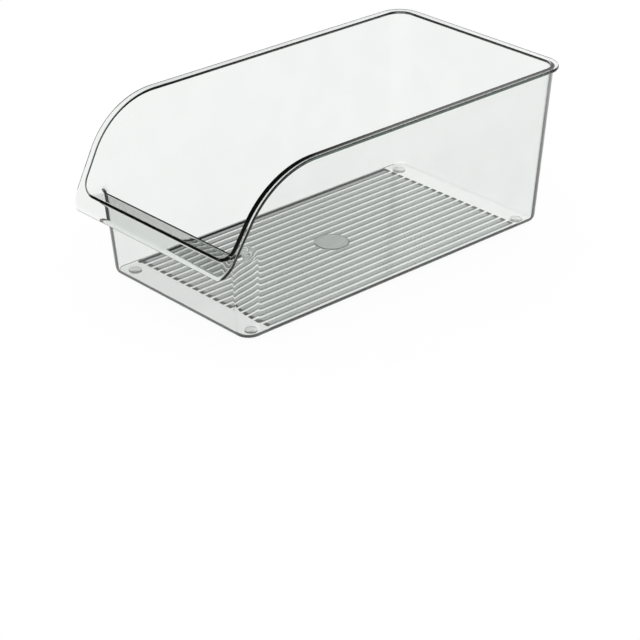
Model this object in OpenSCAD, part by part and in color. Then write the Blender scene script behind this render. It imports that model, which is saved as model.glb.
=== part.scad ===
// Clear fridge bin: a one-piece moulding with a scooped, lipped front and a ribbed floor,
// standing on four stick-on round feet.
// Millimetres, +Z up, +X to the right, front towards -Y. The origin is on the surface that
// the bin stands on, under the middle of the box that encloses it.

/* [Overall] */
// Width over the rim flanges
bin_width = 166; // [130:1:220]
// Length from the back of the rim to the front of the lip
bin_length = 310; // [240:1:400]
// Height of the rim above the surface that the feet stand on
bin_height = 120; // [100:1:160]

/* [Walls] */
// Thickness of the walls
wall = 2.2; // [1.6:0.1:3]
// Thickness of the floor between the ribs
floor_thickness = 2.4; // [1.6:0.1:4]
// Outward lean of the side walls in degrees
side_draft = 4; // [1:0.5:6]
// Outward lean of the back wall in degrees
back_draft = 2.5; // [1:0.5:6]
// Outward lean of the front wall in degrees
front_draft = 4.8; // [1:0.1:7]
// Outer radius of the upright corners at the floor
corner_r_floor = 11; // [8:0.5:14]
// Outer radius of the upright corners at the rim
corner_r_rim = 14.5; // [12:0.5:18]
// Radius of the rounded edge under the walls
bottom_edge_r = 4.5; // [3:0.5:6]

/* [Rim] */
// How far the rim flange stands out from the walls
flange_width = 3.4; // [2:0.1:6]
// Thickness of the rim flange and the front lip
flange_thickness = 2.2; // [1.6:0.1:3]
// Radius of the bend where the rim starts to drop towards the front
drop_radius = 62; // [40:1:70]
// Slope of the dropping rim in degrees
drop_slope = 60; // [50:1:65]

/* [Front] */
// Height of the crest where the front ledge meets the lip
crest_height = 65.4; // [55:0.2:75]
// Reach of the lip in front of the crest
lip_reach = 6.2; // [4:0.1:9]
// Slope of the lip in degrees
lip_slope = 54; // [40:1:60]
// Depth of the front ledge, from the front wall to the crest
ledge_depth = 12.4; // [8:0.1:18]
// Rise of the ledge from the front wall to the crest
ledge_rise = 2; // [0:0.1:4]
// Inner radius between the ledge and the side walls
scoop_r = 10; // [6:0.5:14]
// Outer radius of the lip's corners
lip_corner_r = 8.5; // [6:0.5:12]

/* [Floor ribs] */
// Number of ribs that run along the floor
rib_count = 19; // [9:2:25]
// Distance from rib to rib
rib_pitch = 6.9; // [5:0.1:8]
// Width of a rib
rib_width = 4.6; // [3:0.1:5]
// Height of a rib above the floor
rib_height = 1.3; // [0.8:0.1:2]
// Bare floor between the rib ends and the outside of the front and back walls
rib_end_margin = 22.6; // [18:0.1:40]
// Diameter of the round boss in the middle of the ribs
boss_d = 25; // [15:0.5:40]

/* [Feet] */
// Diameter of a foot
foot_d = 9; // [6:0.5:14]
// Height of a foot
foot_height = 1.2; // [0.8:0.1:3]
// Rounding of a foot's lower edge
foot_edge_r = 0.4; // [0.1:0.1:0.6]
// Distance from a foot's centre to the outside of the side wall at the floor
foot_inset_side = 12; // [9:0.5:20]
// Distance from a foot's centre to the outside of the front or back wall at the floor
foot_inset_end = 14; // [10:0.5:20]

/* [Hidden] */
clear_plastic = [0.86, 0.91, 0.89, 0.45];
clear_rubber = [0.88, 0.9, 0.9, 0.6];
hull_fn = 40;
far = 2 * bin_length;

// Heights
floor_under = foot_height;
floor_top = floor_under + floor_thickness;

// Outside faces of the walls: x of the side wall, y of the back and front walls, at height z
side_rim_x = bin_width / 2 - flange_width;
back_rim_y = bin_length / 2 - flange_width;
crest_y = -bin_length / 2 + lip_reach;
ledge_root_y = crest_y + ledge_depth;
ledge_root_z = crest_height - ledge_rise;
function side_x(z) = side_rim_x - (bin_height - z) * tan(side_draft);
function back_y(z) = back_rim_y - (bin_height - z) * tan(back_draft);
function front_y(z) = ledge_root_y + (ledge_root_z - z) * tan(front_draft);
floor_mid_y = (back_y(floor_under) + front_y(floor_under)) / 2;

// Ribs and feet
rib_back_y = back_y(floor_under) - rib_end_margin;
rib_front_y = front_y(floor_under) + rib_end_margin;
foot_x = side_x(floor_under) - foot_inset_side;
foot_back_y = back_y(floor_under) - foot_inset_end;
foot_front_y = front_y(floor_under) + foot_inset_end;

// One corner of a wall box: a ring with a rounded lower edge, or a plain disc at the top
module corner_low(r, edge_r) {
    rotate_extrude($fn = hull_fn)
        translate([r - edge_r, 0])
            intersection() {
                circle(r = edge_r, $fn = hull_fn);
                translate([-(r - edge_r), -edge_r]) square([r, edge_r]);
            }
}

// Leaning box with rounded corners that stands inside the outer wall faces by inset.
// It starts at height z0 and ends at z1, and its front face can stand forward by reach.
module wall_box(inset, z0, z1, edge_r, reach = 0) {
    r0 = corner_r_floor - inset;
    r1 = corner_r_rim - inset;
    hull()
        for (sx = [-1, 1], end = [-1, 1]) {
            y0 = end > 0 ? back_y(z0) - inset : front_y(z0) + inset - reach;
            y1 = end > 0 ? back_y(z1) - inset : front_y(z1) + inset - reach;
            translate([sx * (side_x(z0) - inset - r0), y0 - end * r0, z0 + edge_r])
                corner_low(r0, edge_r);
            translate([sx * (side_x(z1) - inset - r1), y1 - end * r1, z1 - 0.01])
                cylinder(r = r1, h = 0.01, $fn = hull_fn);
        }
}

// Direction that a surface faces when it drops towards the front at an angle, as [y, z]
function facing(slope) = [-sin(slope), cos(slope)];

// Everything below the rim's top surface, lowered by depth, as a side view extruded across the bin:
// level at the back, a round bend, a straight slope down to the crest and the lip's slope
module below_rim(depth) {
    r = drop_radius - depth;
    drop = bin_height - crest_height;
    bend_y = crest_y + drop_radius * sin(drop_slope)
        + (drop - drop_radius * (1 - cos(drop_slope))) / tan(drop_slope);
    bend = [bend_y, bin_height - drop_radius];
    crest = [crest_y, crest_height]
        - depth * (facing(drop_slope) + facing(lip_slope)) / (1 + facing(drop_slope) * facing(lip_slope));
    lip_end = crest - 40 * [cos(lip_slope), sin(lip_slope)];
    rotate([90, 0, 90])
        linear_extrude(height = 2 * bin_width, center = true) {
            translate(bend) circle(r = r, $fn = 180);
            polygon([[far, -1], [far, bin_height - depth], [bend_y, bin_height - depth],
                bend, bend + r * facing(drop_slope), crest, lip_end, [lip_end[0], -1]]);
        }
}

// Everything above the front ledge: a channel whose floor rises towards the front and whose
// lower corners are round
module above_ledge(lower, r) {
    slope = atan(ledge_rise / ledge_depth);
    top = bin_height + 40;
    half = side_x(ledge_root_z) + lower;
    lean = tan(side_draft);
    // The arc touches the channel's floor and its leaning side
    arc_x = half - wall - r * (1 / cos(side_draft) - lean);
    translate([0, ledge_root_y, ledge_root_z - lower])
        rotate([-slope, 0, 0])
            translate([0, 30, 0])
                rotate([90, 0, 0])
                    linear_extrude(height = 100) {
                        for (sx = [-1, 1]) translate([sx * arc_x, r]) circle(r = r, $fn = 96);
                        translate([-arc_x, 0]) square([2 * arc_x, top]);
                        polygon([for (sx = [-1, 1], v = sx < 0 ? [0, 1] : [1, 0])
                            [sx * (arc_x + r * cos(side_draft) + v * top * lean),
                             r - r * sin(side_draft) + v * top]]);
                    }
}

// Outline that trims the flange and the lip
module flange_box() {
    back_r = corner_r_rim + flange_width;
    x1 = bin_width / 2;
    x0 = x1 - bin_height * tan(side_draft);
    y_back = bin_length / 2;
    y_front = -bin_length / 2;
    hull()
        for (sx = [-1, 1]) {
            for (zx = [[0, x0], [bin_height, x1]]) {
                translate([sx * (zx[1] - back_r), y_back - back_r, zx[0]])
                    cylinder(r = back_r, h = 0.01, $fn = 64);
                translate([sx * (zx[1] - lip_corner_r), y_front + lip_corner_r, zx[0]])
                    cylinder(r = lip_corner_r, h = 0.01, $fn = 64);
            }
        }
}

// The moulding's inside: the box for the contents and the scooped mouth above the ledge
module inside() {
    above = bin_height + 5;
    wall_box(wall, floor_top, above, bottom_edge_r - wall);
    intersection() {
        wall_box(wall, floor_top, above, bottom_edge_r - wall, 60);
        above_ledge(0, scoop_r);
    }
}

module rib(x) {
    translate([x - rib_width / 2, rib_front_y, floor_top - 0.2])
        cube([rib_width, rib_back_y - rib_front_y, rib_height + 0.2]);
}

module bin() {
    color(clear_plastic) {
        difference() {
            intersection() {
                union() {
                    wall_box(0, floor_under, bin_height + 1, bottom_edge_r);
                    intersection() {
                        wall_box(0, floor_under, bin_height + 1, bottom_edge_r, 60);
                        above_ledge(wall, scoop_r + wall);
                    }
                    difference() {
                        flange_box();
                        below_rim(flange_thickness);
                    }
                }
                below_rim(0);
            }
            inside();
        }
        for (i = [0:rib_count - 1]) rib((i - (rib_count - 1) / 2) * rib_pitch);
        translate([0, floor_mid_y, floor_top - 0.2])
            cylinder(d = boss_d, h = rib_height + 0.2, $fn = 96);
    }
}

module foot(sx, y) {
    color(clear_rubber)
        translate([sx * foot_x, y, 0])
            rotate_extrude($fn = 64)
                union() {
                    square([foot_d / 2 - foot_edge_r, foot_height]);
                    translate([0, foot_edge_r]) square([foot_d / 2, foot_height - foot_edge_r]);
                    translate([foot_d / 2 - foot_edge_r, foot_edge_r]) circle(r = foot_edge_r, $fn = 32);
                }
}

module foot_front_left() { foot(-1, foot_front_y); }
module foot_front_right() { foot(1, foot_front_y); }
module foot_back_left() { foot(-1, foot_back_y); }
module foot_back_right() { foot(1, foot_back_y); }

bin();
foot_front_left();
foot_front_right();
foot_back_left();
foot_back_right();
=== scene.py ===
from math import atan2, cos, pi, radians, sin, sqrt, tan

import bmesh
import bpy
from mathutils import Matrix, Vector


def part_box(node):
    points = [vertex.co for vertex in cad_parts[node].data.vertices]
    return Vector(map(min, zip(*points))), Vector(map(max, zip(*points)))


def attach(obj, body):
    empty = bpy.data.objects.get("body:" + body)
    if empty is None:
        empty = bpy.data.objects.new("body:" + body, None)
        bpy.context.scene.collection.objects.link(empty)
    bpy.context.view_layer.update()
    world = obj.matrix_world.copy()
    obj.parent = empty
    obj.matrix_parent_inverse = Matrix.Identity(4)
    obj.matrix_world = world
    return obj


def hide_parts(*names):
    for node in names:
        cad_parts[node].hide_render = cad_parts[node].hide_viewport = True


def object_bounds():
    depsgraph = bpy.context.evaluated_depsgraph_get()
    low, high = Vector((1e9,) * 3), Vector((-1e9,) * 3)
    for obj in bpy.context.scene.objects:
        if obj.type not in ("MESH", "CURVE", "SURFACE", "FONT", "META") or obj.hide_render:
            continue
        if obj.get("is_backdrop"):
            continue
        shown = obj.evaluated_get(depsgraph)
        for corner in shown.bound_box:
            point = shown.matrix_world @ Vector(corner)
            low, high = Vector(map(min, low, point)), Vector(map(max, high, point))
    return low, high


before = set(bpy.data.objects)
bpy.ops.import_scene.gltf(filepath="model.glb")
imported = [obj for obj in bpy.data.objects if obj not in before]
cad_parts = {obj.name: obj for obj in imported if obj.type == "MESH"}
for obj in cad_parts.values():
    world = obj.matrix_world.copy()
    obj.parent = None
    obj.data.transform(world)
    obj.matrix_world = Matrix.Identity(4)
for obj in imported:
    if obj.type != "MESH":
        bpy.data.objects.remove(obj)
cad_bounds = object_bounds()

# ---------------------------------------------------------------- sizes, in millimetres
MM = 0.001
WIDTH, LENGTH, HEIGHT = 166.0, 310.0, 120.0
FOOT_D, FOOT_H = 9.0, 1.2
WALL = 2.2
SIDE_LEAN, BACK_LEAN, FRONT_LEAN = radians(4.0), radians(2.5), radians(4.8)
FLANGE_W, FLANGE_T = 3.4, 2.2
BEND_R, RIM_SLOPE, LIP_SLOPE = 62.0, radians(60), radians(54)
CREST_Z, LIP_REACH = 65.4, 6.2
LEDGE_DEPTH, LEDGE_RISE = 12.4, 2.0
WALL_TOP_R = 3.5
CORNER_R_LOW, CORNER_R_GROWTH = 8.8, 3.5
LIP_CORNER_R, BACK_CORNER_R = 8.5, 17.9
FLOOR_BEND_R = 2.3
BLEND_Z = 45.0
SCOOP_R = CORNER_R_LOW + CORNER_R_GROWTH * BLEND_Z / HEIGHT

RIB_COUNT, RIB_PITCH, RIB_W, RIB_H = 19, 6.9, 4.2, 0.4
RIB_END_MARGIN = 22.6
BOSS_D = 25.0

# points along half of the rim: front, front corner, slope, bend, side, back corner, back
N_FRONT, N_CORNER, N_SLOPE, N_BEND, N_SIDE, N_BACK = 8, 14, 4, 30, 18, 6

side_rim_x = WIDTH / 2 - FLANGE_W
back_rim_y = LENGTH / 2 - FLANGE_W
crest_y = -LENGTH / 2 + LIP_REACH
root_y, root_z = crest_y + LEDGE_DEPTH, CREST_Z - LEDGE_RISE
inner_floor_z = FOOT_H + WALL
bend_y = crest_y + BEND_R * sin(RIM_SLOPE) + (
    HEIGHT - CREST_Z - BEND_R * (1 - cos(RIM_SLOPE))) / tan(RIM_SLOPE)


def wall_x(z, out):
    """Half width at height z, on the surface that lies out millimetres outside the inner face."""
    return side_rim_x - (HEIGHT - z) * tan(SIDE_LEAN) - WALL + out


def back_wall_y(z, out):
    return back_rim_y - (HEIGHT - z) * tan(BACK_LEAN) - WALL + out


def front_wall_y(z, out):
    return root_y + (root_z - z) * tan(FRONT_LEAN) + WALL - out


def corner_r(z, out):
    return CORNER_R_LOW + CORNER_R_GROWTH * z / HEIGHT + out


def rim_z(y, deep):
    """Height of the rim's top surface at y, or of the surface that lies deep millimetres under it."""
    r = BEND_R - deep
    if y >= bend_y:
        return HEIGHT - deep
    if y >= bend_y - r * sin(RIM_SLOPE):
        return HEIGHT - BEND_R + sqrt(r * r - (bend_y - y) ** 2)
    steep = CREST_Z + (y - crest_y) * tan(RIM_SLOPE) - deep / cos(RIM_SLOPE)
    lip = CREST_Z + (y - crest_y) * tan(LIP_SLOPE) - deep / cos(LIP_SLOPE)
    return max(steep, lip)


def between(a, b, n):
    """n + 1 even steps from a to b."""
    return [a + (b - a) * i / n for i in range(n + 1)]


def mirrored(half):
    """A closed ring of points from its right half, which starts and ends on the middle line."""
    return half + [(-x, y, z) for x, y, z in reversed(half[1:-1])]


def side_steps(y0, y1, deep):
    """The rim's points along the side from y0 back to y1: the slope, the bend and the level part."""
    r = BEND_R - deep
    foot = bend_y - r * sin(RIM_SLOPE)
    ys = between(y0, foot, N_SLOPE)[:-1]
    ys += [bend_y - r * sin(a) for a in between(RIM_SLOPE, 0, N_BEND)[:-1]]
    return ys + between(bend_y, y1, N_SIDE)


def back_half(z, out):
    """The right back corner and the right half of the back, at height z."""
    r = corner_r(z, out)
    x, y = wall_x(z, out) - r, back_wall_y(z, out) - r
    corner = [(x + r * cos(a), y + r * sin(a), z) for a in between(0, pi / 2, N_CORNER)]
    return corner + [(v, y + r, z) for v in between(x, 0, N_BACK)[1:]]


def cup_ring(z, inset, out):
    """A level ring round the walls at height z, pulled in by inset for the bend under them."""
    r = corner_r(z, out) - inset
    x, y0, y1 = wall_x(z, out) - inset, front_wall_y(z, out) + inset, back_wall_y(z, out) - inset
    half = [(v, y0, z) for v in between(0, x - r, N_FRONT)[:-1]]
    half += [(x - r + r * sin(a), y0 + r - r * cos(a), z) for a in between(0, pi / 2, N_CORNER)]
    steps = side_steps(-142.0, 137.0, 0)
    share = [(v - steps[0]) / (steps[-1] - steps[0]) for v in steps]
    half += [(x, y0 + r + (y1 - r - y0 - r) * s, z) for s in share[1:-1]]
    half += [(x - r + r * cos(a), y1 - r + r * sin(a), z) for a in between(0, pi / 2, N_CORNER)]
    half += [(v, y1, z) for v in between(x - r, 0, N_BACK)[1:]]
    return mirrored(half)


# The front ribbon runs up the front wall, over its rounded top and out along the ledge.
# It is the same all the way across, and is described by a point and the way it faces, in y and z.
wall_facing = Vector((cos(FRONT_LEAN), sin(FRONT_LEAN)))
ledge_rise_angle = atan2(LEDGE_RISE, LEDGE_DEPTH)
ledge_facing = Vector((sin(ledge_rise_angle), cos(ledge_rise_angle)))
ledge_way = Vector((-cos(ledge_rise_angle), sin(ledge_rise_angle)))
_a = wall_facing.dot(Vector((front_wall_y(0, 0), 0))) - WALL_TOP_R
_b = ledge_facing.dot(Vector((root_y, root_z))) - WALL_TOP_R
_det = wall_facing.x * ledge_facing.y - wall_facing.y * ledge_facing.x
top_centre = Vector(((_a * ledge_facing.y - _b * wall_facing.y) / _det,
                     (wall_facing.x * _b - ledge_facing.x * _a) / _det))


def fillet(place, facing, out):
    """From a ribbon point round the inside corner and on to the side wall."""
    r = SCOOP_R + out
    lean = atan2(facing.y * tan(SIDE_LEAN), 1)
    x0 = wall_x(place.y, out) + r * tan(lean) - r / cos(lean)
    points = []
    for a in between(0, pi / 2 - lean, N_CORNER):
        p = place + facing * (r - r * cos(a))
        points.append((x0 + r * sin(a), p.x, p.y))
    return points


def ledge_fillet(share, out, deep):
    """The same along the ledge, at a share of the way out to where it meets the rim's surface."""
    start = top_centre + ledge_facing * (WALL_TOP_R - out)
    points = []
    for x, y, z in fillet(start, ledge_facing, out):
        low, high = -20.0, 40.0
        for _ in range(40):
            mid = (low + high) / 2
            if z + mid * ledge_way.y < rim_z(y + mid * ledge_way.x, deep):
                low = mid
            else:
                high = mid
        s = low * share
        z1 = z + s * ledge_way.y
        points.append((x + s * ledge_way.y * tan(SIDE_LEAN), y + s * ledge_way.x, z1))
    return points


def wall_ring(front, rise, out, deep):
    """A ring whose front half is given by its corner points, and which climbs the sides and back
    by the share rise of the way from the blend height to the rim's surface."""
    last = ledge_fillet(1, out, deep)[-1]
    top_z = HEIGHT - deep
    z_back = BLEND_Z + (top_z - BLEND_Z) * rise
    back = back_half(z_back, out)
    y1 = (back_wall_y(z_back, out) - corner_r(z_back, out))
    y1_top = back_wall_y(top_z, out) - corner_r(top_z, out)
    steps = side_steps(last[1], y1_top, deep)
    y0_low = front_wall_y(BLEND_Z, out) + corner_r(BLEND_Z, out)
    _, ey, ez = front[-1]
    side = []
    gap_y = gap_z = None
    for v in steps:
        s = (v - steps[0]) / (steps[-1] - steps[0])
        y = (y0_low + (y1 - y0_low) * s) * (1 - rise) + (v + (y1 - y1_top) * s) * rise
        z = BLEND_Z * (1 - rise) + rim_z(v, deep) * rise
        if gap_y is None:
            gap_y, gap_z = ey - y, ez - z
        fade = max(0.0, 1 - s / 0.35) ** 2
        y, z = y + gap_y * fade, z + gap_z * fade
        side.append((wall_x(z, out), y, z))
    half = [(v, front[0][1], front[0][2]) for v in between(0, front[0][0], N_FRONT)[:-1]]
    half += front + side[1:-1] + back
    return mirrored(half)


def climbing_rings(out, deep, edge_rings):
    """Rings from the floor's edge up the walls to the rim, on one face of the moulding."""
    low_z = inner_floor_z - out
    r = FLOOR_BEND_R + out
    rings = [cup_ring(low_z, r + 0.6, out)]
    for a in between(0, pi / 2, 7):
        rings.append(cup_ring(low_z + r * (1 - cos(a)), r * (1 - sin(a)), out))
    rings += [cup_ring(z, 0, out) for z in (low_z + r + 0.6, 20.0, 32.0)]
    stations = []
    top_r = WALL_TOP_R - out
    wall_end = top_centre + wall_facing * top_r
    for s in (1, 0.66, 0.33, 0.06, 0):
        z = wall_end.y + (BLEND_Z - wall_end.y) * s
        stations.append(fillet(Vector((front_wall_y(z, out), z)), wall_facing, out))
    turn0, turn1 = FRONT_LEAN, pi / 2 - ledge_rise_angle
    for a in between(turn0, turn1, 8)[1:]:
        stations.append(fillet(top_centre + Vector((cos(a), sin(a))) * top_r, Vector((cos(a), sin(a))), out))
    for share in (0.1, 0.5):
        stations.append(ledge_fillet(share, out, deep))
    for i, front in enumerate(stations):
        rings.append(wall_ring(front, i / len(stations), out, deep))
    for o, d in edge_rings:
        rings.append(wall_ring(ledge_fillet(1, o, d), 1, o, d))
    return rings


def outline_ring(inset, deep):
    """The flange's and the lip's outer outline, pulled in by inset, on the surface under the rim."""
    y0, y1 = -LENGTH / 2 + inset, LENGTH / 2 - inset
    r0, r1 = LIP_CORNER_R - inset, BACK_CORNER_R - inset

    def edge_x(y):
        return WIDTH / 2 - inset - (HEIGHT - rim_z(y, 0)) * tan(SIDE_LEAN)

    x0 = edge_x(y0 + r0) - r0
    half = [(v, y0, rim_z(y0, deep)) for v in between(0, x0, N_FRONT)[:-1]]
    for a in between(0, pi / 2, N_CORNER):
        y = y0 + r0 - r0 * cos(a)
        half.append((x0 + r0 * sin(a), y, rim_z(y, deep)))
    steps = side_steps(y0 + r0, y1 - r1, deep)
    half += [(edge_x(v), v, rim_z(v, deep)) for v in steps[1:-1]]
    x1 = WIDTH / 2 - inset - r1
    half += [(x1 + r1 * cos(a), y1 - r1 + r1 * sin(a), HEIGHT - deep) for a in between(0, pi / 2, N_CORNER)]
    half += [(v, y1, HEIGHT - deep) for v in between(x1, 0, N_BACK)[1:]]
    return mirrored(half)


def loft(bm, rings):
    """Skins closed rings one after the other and closes both ends."""
    start = bmesh.ops.create_circle(bm, cap_ends=False, segments=len(rings[0]), radius=1)["verts"]
    row = list(start)
    for v, p in zip(row, rings[0]):
        v.co = Vector(p) * MM
    edges = list({e for v in row for e in v.link_edges})
    bmesh.ops.edgeloop_fill(bm, edges=edges)
    for ring in rings[1:]:
        made = bmesh.ops.extrude_edge_only(bm, edges=edges)["geom"]
        new = {v for v in made if isinstance(v, bmesh.types.BMVert)}
        edges = [e for e in made if isinstance(e, bmesh.types.BMEdge)
                 and e.verts[0] in new and e.verts[1] in new]
        row = [next(e.other_vert(v) for e in v.link_edges if e.other_vert(v) in new) for v in row]
        for v, p in zip(row, ring):
            v.co = Vector(p) * MM
    bmesh.ops.edgeloop_fill(bm, edges=edges)
    bmesh.ops.recalc_face_normals(bm, faces=bm.faces)


def finished(bm, name, *materials):
    """Turns a bmesh into an object at the origin, smooth except at its creases."""
    mesh = bpy.data.meshes.new(name)
    bm.to_mesh(mesh)
    bm.free()
    for m in materials:
        mesh.materials.append(m)
    obj = bpy.data.objects.new(name, mesh)
    bpy.context.scene.collection.objects.link(obj)
    mesh.polygons.foreach_set("use_smooth", [True] * len(mesh.polygons))
    mesh.set_sharp_from_angle(angle=radians(32))
    return obj


# ---------------------------------------------------------------- shader helpers
class Val:
    """A shader socket that takes part in Python arithmetic."""

    def __init__(self, tree, socket):
        self.tree, self.socket = tree, socket

    def _math(self, op, a, b=None):
        return self.tree.node("ShaderNodeMath", {"operation": op}, {0: a, **({} if b is None else {1: b})})

    def __add__(self, o): return self._math("ADD", self, o)
    def __radd__(self, o): return self._math("ADD", o, self)
    def __sub__(self, o): return self._math("SUBTRACT", self, o)
    def __rsub__(self, o): return self._math("SUBTRACT", o, self)
    def __mul__(self, o): return self._math("MULTIPLY", self, o)
    def __rmul__(self, o): return self._math("MULTIPLY", o, self)
    def __truediv__(self, o): return self._math("DIVIDE", self, o)
    def __rtruediv__(self, o): return self._math("DIVIDE", o, self)
    def at_most(self, o): return self._math("MINIMUM", self, o)
    def size(self): return self._math("ABSOLUTE", self)
    def root(self): return self._math("SQRT", self)
    def fraction(self): return self._math("FRACT", self)

    def ramp(self, low, high, to_low=0.0, to_high=1.0, kind="SMOOTHSTEP"):
        return self.tree.node("ShaderNodeMapRange", {"interpolation_type": kind},
                              {0: self, 1: low, 2: high, 3: to_low, 4: to_high})


class Tree:
    """The node tree of a material or a world."""

    def __init__(self, owner):
        owner.use_nodes = True
        self.nt = owner.node_tree
        self.nt.nodes.clear()

    def node(self, kind, settings=None, inputs=None, out=0):
        n = self.nt.nodes.new(kind)
        for key, value in (settings or {}).items():
            if key == "stops":
                ramp = n.color_ramp
                while len(ramp.elements) < len(value):
                    ramp.elements.new(0.5)
                for e, (pos, col) in zip(ramp.elements, value):
                    e.position, e.color = pos, col
            else:
                setattr(n, key, value)
        for key, value in (inputs or {}).items():
            if isinstance(value, Val):
                self.nt.links.new(value.socket, n.inputs[key])
            else:
                n.inputs[key].default_value = value
        return Val(self, n.outputs[out])

    def place(self):
        return self.node("ShaderNodeTexCoord", out="Object")

    def split(self, vector):
        n = self.node("ShaderNodeSeparateXYZ", None, {0: vector})
        return [Val(self, n.socket.node.outputs[i]) for i in range(3)]

    def noise(self, scale, detail=3.0, roughness=0.55, where=None):
        return self.node("ShaderNodeTexNoise", None,
                         {"Vector": where or self.place(), "Scale": scale, "Detail": detail, "Roughness": roughness})

    def mix(self, share, a, b):
        return self.node("ShaderNodeMix", {"data_type": "RGBA"}, {0: share, 6: a, 7: b}, out=2)

    def rays(self, *names):
        n = self.node("ShaderNodeLightPath")
        total = Val(self, n.socket.node.outputs[names[0]])
        for name in names[1:]:
            total = total + Val(self, n.socket.node.outputs[name])
        return total.at_most(1.0)

    def around(self, trapped):
        """How bright the surroundings are to a ray: full, or only trapped once the ray has both
        passed through and been mirrored by clear plastic. It makes thick edges read dark."""
        inside = self.rays("Transmission Depth") * self.rays("Glossy Depth")
        return 1.0 - inside * (1.0 - trapped)


def clear_plastic(name, tint, roughness, rough_change, ior=1.5, thin_colour=None, density=0.0,
                  painted_shade_mask=None):
    """Clear moulded plastic. Lamps reach what is behind it. Where a mask is given, near black is painted into its
    colour there as shade.
    """
    mat = bpy.data.materials.new(name)
    t = Tree(mat)
    cloud = t.noise(38.0, 4.0)
    shade = t.mix(cloud.ramp(0.35, 0.65), (*[c * 0.985 for c in tint], 1), (*tint, 1))
    # Painted shade: near black is mixed into the colour where the mask is 1.
    if painted_shade_mask:
        shade = t.mix(painted_shade_mask(t), shade, (0.008, 0.010, 0.009, 1))
    inputs = {"Base Color": shade, "Roughness": roughness + rough_change * cloud,
              "IOR": ior, "Transmission Weight": 1.0}
    body = t.node("ShaderNodeBsdfPrincipled", None, inputs)
    shadow = t.node("ShaderNodeBsdfTransparent", None, {0: (0.93, 0.95, 0.94, 1)})
    both = t.node("ShaderNodeMixShader", None, {0: t.rays("Is Shadow Ray"), 1: body, 2: shadow})
    links = {0: both}
    if density:
        links[1] = t.node("ShaderNodeVolumeAbsorption", None, {"Color": (*thin_colour, 1), "Density": density})
    surface = t.nt.nodes.new("ShaderNodeOutputMaterial")
    for key, value in links.items():
        t.nt.links.new(value.socket, surface.inputs[key])
    return mat


RIB_BACK = (back_wall_y(FOOT_H, WALL) - RIB_END_MARGIN) * MM
RIB_FRONT = (front_wall_y(FOOT_H, WALL) + RIB_END_MARGIN) * MM
BOSS_Y = (RIB_BACK + RIB_FRONT) / 2


def bend_painted_shade(t):
    """A dark line of painted shade along the floor's bend, beside the outermost ribs. It sits 1.4 mm off centre
    towards +X.
    """
    x, y, z = t.split(t.place())
    off = (x - 0.0014).size()
    half_rib = RIB_BACK - BOSS_Y
    low = (1.0 - z.ramp(0.0045, 0.0062)) * (1.0 - (y - BOSS_Y).size().ramp(half_rib, half_rib + 0.001))
    return low * off.ramp(0.0658, 0.0662) * (1.0 - off.ramp(0.0684, 0.0690))


def rib_painted_shade(t):
    """Painted shade: dark rib ends, a broken dark ring on the boss, and a shade across each rib."""
    x, y, z = t.split(t.place())
    ends = y.ramp(RIB_BACK - 0.0034, RIB_BACK - 0.0026)
    ends = ends + (1.0 - y.ramp(RIB_FRONT + 0.0026, RIB_FRONT + 0.0034))
    dy = y - BOSS_Y
    r = (x * x + dy * dy).root()
    ring = r.ramp(0.0112, 0.0118) * (1.0 - r.ramp(0.0125, 0.0128)) * t.noise(90.0, 1.0).ramp(0.34, 0.46)
    across = (x / (RIB_PITCH * MM) + 0.5).fraction().ramp(0.40, 0.82) * 0.45
    return (ends + ring * 0.8 + across * r.ramp(0.0124, 0.0126)).at_most(1.0)




def crest_painted_shade(t):
    """Painted shade along the rounded inner edge of the rim, where it comes down to the scoop."""
    x, y, z = t.split(t.place())
    return (1.0 - y.ramp(-0.105, -0.07)) * 0.93


plastic = clear_plastic("clear_plastic", (0.986, 0.998, 0.989), 0.0, 0.015,
                        thin_colour=(0.62, 0.74, 0.68), density=6.0, painted_shade_mask=bend_painted_shade)
# The rib tops are rough, and their dark grey colour is painted shade.
frosted_and_shaded = clear_plastic("rib_tops_rough_painted_grey", (0.27, 0.30, 0.285), 0.12, 0.10,
                        thin_colour=(0.62, 0.74, 0.68), density=6.0, painted_shade_mask=rib_painted_shade)
# Painted shade: the rim's rounded inner edge at the front is darkened.
crest = clear_plastic("crest_painted_shade", (0.986, 0.998, 0.989), 0.0, 0.015,
                      thin_colour=(0.62, 0.74, 0.68), density=6.0, painted_shade_mask=crest_painted_shade)
# Painted shade: the flange's rounded outer edge is coloured near black.
rim_edge_painted_shade = clear_plastic("rim_edge_painted_shade", (0.05, 0.06, 0.055), 0.0, 0.015,
                         thin_colour=(0.62, 0.74, 0.68), density=6.0)
bumper = clear_plastic("clear_bumper", (0.90, 0.92, 0.91), 0.08, 0.06, ior=1.45)

# ---------------------------------------------------------------- the moulding
crest_round, edge_round, under_round = 0.6, 0.7, 0.9
CREST_BAND = 2.0
steps = between(0, pi / 2, 4)
outer = climbing_rings(WALL, FLANGE_T + under_round,
                       [(WALL + under_round * (1 - cos(a)), FLANGE_T + under_round * (1 - sin(a)))
                        for a in steps])
inner = climbing_rings(0, CREST_BAND,
                       [(crest_round * (1 - cos(a)), crest_round * (1 - sin(a))) for a in steps])
edge = [outline_ring(edge_round * (1 - sin(a)), FLANGE_T - edge_round * (1 - cos(a))) for a in steps]
edge += [outline_ring(edge_round * (1 - cos(a)), edge_round * (1 - sin(a))) for a in steps]

bm = bmesh.new()
loft(bm, outer + edge + inner[::-1])
shell = finished(bm, "moulding")


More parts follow.
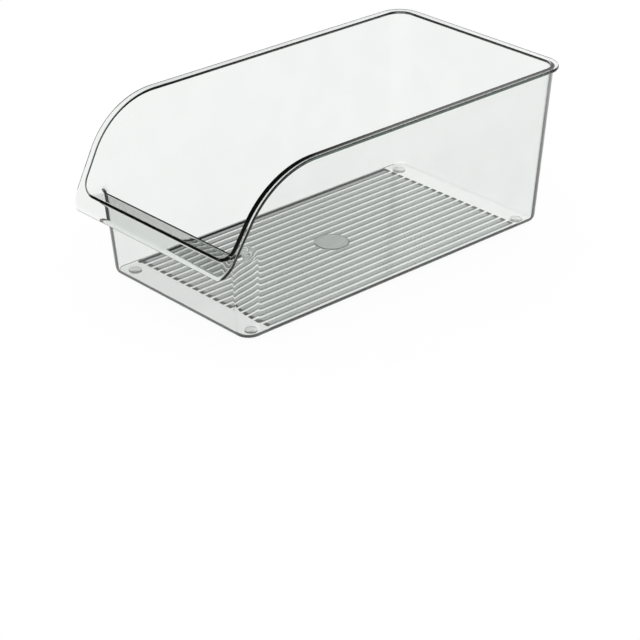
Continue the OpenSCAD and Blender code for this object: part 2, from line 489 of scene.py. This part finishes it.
def rib_cutters():
    """The floor's ribs, sunk a little into the floor so that they join it, and the boss's place."""
    bm = bmesh.new()
    y_back = back_wall_y(FOOT_H, WALL) - RIB_END_MARGIN
    y_front = front_wall_y(FOOT_H, WALL) + RIB_END_MARGIN
    for i in range(RIB_COUNT):
        x = (i - (RIB_COUNT - 1) / 2) * RIB_PITCH
        made = bmesh.ops.create_cube(bm, size=1)["verts"]
        bmesh.ops.scale(bm, vec=(RIB_W * MM, (y_back - y_front) * MM, (RIB_H + 0.5) * MM), verts=made)
        bmesh.ops.translate(bm, vec=(x * MM, (y_back + y_front) / 2 * MM,
                                     (inner_floor_z + RIB_H / 2 - 0.25) * MM), verts=made)
        top = [e for v in made for e in v.link_edges
               if all(u.co.z > (inner_floor_z + RIB_H / 2) * MM for u in e.verts)]
        bmesh.ops.bevel(bm, geom=list(set(top)), offset=0.15 * MM, segments=2, profile=0.5,
                        affect="EDGES", material=-1)
    return bm, (y_back + y_front) / 2  # and the boss's place


def joined(base, tool_bm, name):
    """base with another closed shape grown on to it."""
    tool = finished(tool_bm, name)
    grow = base.modifiers.new("grow", "BOOLEAN")
    grow.operation, grow.solver, grow.object = "UNION", "EXACT", tool
    bpy.context.view_layer.update()
    made = bpy.data.meshes.new_from_object(base.evaluated_get(bpy.context.evaluated_depsgraph_get()))
    base.modifiers.clear()
    base.data = made
    bpy.data.objects.remove(tool)
    return base


ribs, boss_y = rib_cutters()
joined(shell, ribs, "ribs")
boss = bmesh.new()
disc = bmesh.ops.create_cone(boss, cap_ends=True, segments=72, radius1=BOSS_D / 2 * MM,
                             radius2=BOSS_D / 2 * MM, depth=(RIB_H + 0.35) * MM)["verts"]
bmesh.ops.translate(boss, vec=(0, boss_y * MM, (inner_floor_z + RIB_H / 2 - 0.075) * MM), verts=disc)
rim_edges = [e for e in boss.edges if all(v.co.z > inner_floor_z * MM for v in e.verts)]
bmesh.ops.bevel(boss, geom=rim_edges, offset=0.25 * MM, segments=2, profile=0.5, affect="EDGES", material=-1)
joined(shell, boss, "boss")


def under_rim(y, z):
    """How far a point lies under the rim's top surface, square to it."""
    slope = RIM_SLOPE if y > crest_y else LIP_SLOPE
    if y > bend_y:
        slope = 0
    elif y > bend_y - BEND_R * sin(RIM_SLOPE):
        slope = atan2(bend_y - y, rim_z(y, 0) - HEIGHT + BEND_R)
    return (rim_z(y, 0) - z) * cos(slope)


def beyond_wall(x, y, z):
    """How far a point stands out from the side and back walls' outer faces."""
    r = corner_r(z, WALL)
    cx, cy = wall_x(z, WALL) - r, back_wall_y(z, WALL) - r
    if x > cx and y > cy:
        return sqrt((x - cx) ** 2 + (y - cy) ** 2) - r
    return max(x - cx, y - cy) - r


shell.data.materials.clear()
shell.data.materials.append(plastic)
shell.data.materials.append(frosted_and_shaded)
shell.data.materials.append(crest)
shell.data.materials.append(rim_edge_painted_shade)
top_low = (inner_floor_z + RIB_H - 0.3) * MM
top_high = (inner_floor_z + RIB_H + 0.2) * MM
# Rib tops take the rough, painted-grey material; the rim's rounded inner edge at the front and the flange's outer
# edge take their painted shade.
for f in shell.data.polygons:
    on_top = top_low < f.center.z < top_high and f.normal.z > 0.9 and abs(f.center.x) < 0.068
    f.material_index = 1 if on_top and abs(f.center.y) < 0.13 else 0
    x, y, z = f.center / MM
    if z > CREST_Z - 3:
        under = under_rim(y, z)
        if y < -70 and 0.02 < under < CREST_BAND and abs(x) < wall_x(z, 1.0) and y > crest_y - 0.8:
            f.material_index = 2
        if y > -140 and 0.3 < under < 1.9 and beyond_wall(abs(x), y, z) > 2.4:
            f.material_index = 3
shell.data.polygons.foreach_set("use_smooth", [True] * len(shell.data.polygons))
shell.data.set_sharp_from_angle(angle=radians(32))
even = shell.modifiers.new("even", "WEIGHTED_NORMAL")
even.mode, even.weight, even.keep_sharp = "FACE_AREA", 100, True
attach(shell, "root")
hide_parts("bin")

# ---------------------------------------------------------------- the feet
for node in ("foot_front_left", "foot_front_right", "foot_back_left", "foot_back_right"):
    low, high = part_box(node)
    bm = bmesh.new()
    tall = high.z - low.z - 0.00003
    made = bmesh.ops.create_cone(bm, cap_ends=True, segments=64, radius1=(high.x - low.x) / 2,
                                 radius2=(high.x - low.x) / 2, depth=tall)["verts"]
    bmesh.ops.translate(bm, vec=((low.x + high.x) / 2, (low.y + high.y) / 2, low.z + tall / 2), verts=made)
    round_edges = [e for e in bm.edges if abs(e.verts[0].co.z - e.verts[1].co.z) < 1e-6]
    bmesh.ops.bevel(bm, geom=round_edges, offset=0.0003, segments=3, profile=0.5, affect="EDGES", material=-1)
    foot = finished(bm, node + "_pad", bumper)
    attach(foot, "root")
    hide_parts(node)

# ---------------------------------------------------------------- the stage
turn, tilt = radians(47.33), radians(27.70)  # the camera's direction, which the floor's glow and the sky's light are turned to

floor_mat = bpy.data.materials.new("studio_floor")
t = Tree(floor_mat)
paper = t.node("ShaderNodeBsdfDiffuse", None, {0: (0.93, 0.93, 0.93, 1)})
x, y, _ = t.split(t.place())
nearer = (x * sin(turn) - y * cos(turn)).ramp(-0.30, -0.02)
glow = t.node("ShaderNodeEmission", None, {0: (1, 1, 1, 1), 1: t.around(0.16 - 0.14 * nearer)})
seen = t.rays("Is Camera Ray", "Is Glossy Ray", "Is Transmission Ray")
mixed = t.node("ShaderNodeMixShader", None, {0: seen * 0.93, 1: paper, 2: glow})
t.nt.links.new(mixed.socket, t.nt.nodes.new("ShaderNodeOutputMaterial").inputs[0])
bm = bmesh.new()
bmesh.ops.create_grid(bm, x_segments=4, y_segments=4, size=8.0)
ground = finished(bm, "studio_floor", floor_mat)
ground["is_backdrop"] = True

world = bpy.data.worlds.new("studio")
bpy.context.scene.world = world
t = Tree(world)
east, north, up = t.split(t.node("ShaderNodeTexCoord", out="Generated"))
across = east * cos(turn) + north * sin(turn)
behind = north * cos(turn) - east * sin(turn)
mirrored_sky = up.ramp(0.22, 0.38, 1.0, 0.0) * behind.ramp(0.0, 0.4, 0.15, 1.0)
bent_sky = up.ramp(0.02, 0.14, 1.0, 0.0)
bent = t.rays("Is Transmission Ray")
ceiling = (mirrored_sky * (1.0 - bent) + bent_sky * bent + 0.06).at_most(1.0)
panel = up.ramp(0.30, 0.40) * (1.0 - up.ramp(0.5, 0.6)) * across.ramp(-0.02, 0.06)
panel = panel * behind.ramp(0.5, 0.8) * 1.3
seen = t.rays("Is Glossy Ray", "Is Transmission Ray")
level = seen * (ceiling * t.around(0.05) + panel).at_most(1.0) + (1.0 - seen) * 0.95
sky = t.node("ShaderNodeBackground", None, {0: (1, 1, 1, 1), 1: level})
t.nt.links.new(sky.socket, t.nt.nodes.new("ShaderNodeOutputWorld").inputs[0])


def softbox(name, place, aim, size, watts):
    light = bpy.data.lights.new(name, "AREA")
    light.shape, light.size, light.energy = "SQUARE", size, watts
    obj = bpy.data.objects.new(name, light)
    bpy.context.scene.collection.objects.link(obj)
    obj.location = place
    obj.rotation_euler = (Vector(aim) - Vector(place)).to_track_quat("-Z", "Y").to_euler()


softbox("overhead_softbox", (0.3, -0.3, 1.9), (0, 0, 0.05), 1.2, 9)

# ---------------------------------------------------------------- the camera
back_dir = Vector((sin(turn) * cos(tilt), -cos(turn) * cos(tilt), sin(tilt)))
camera_data = bpy.data.cameras.new("camera")
camera_data.sensor_width = 36
camera_data.lens = 2099.33 * 36 / 640
camera = bpy.data.objects.new("camera", camera_data)
bpy.context.scene.collection.objects.link(camera)
camera.location = (0.9675, -0.8942, 0.6359)
camera.rotation_euler = back_dir.to_track_quat("Z", "Y").to_euler()
bpy.context.scene.camera = camera

bpy.context.scene.view_settings.view_transform = "Standard"


def plain(value):
    """Vectors and tuples as plain lists."""
    return value if isinstance(value, (int, float)) else [plain(v) for v in value]


{"cad": plain(cad_bounds), "visual": plain(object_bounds())}
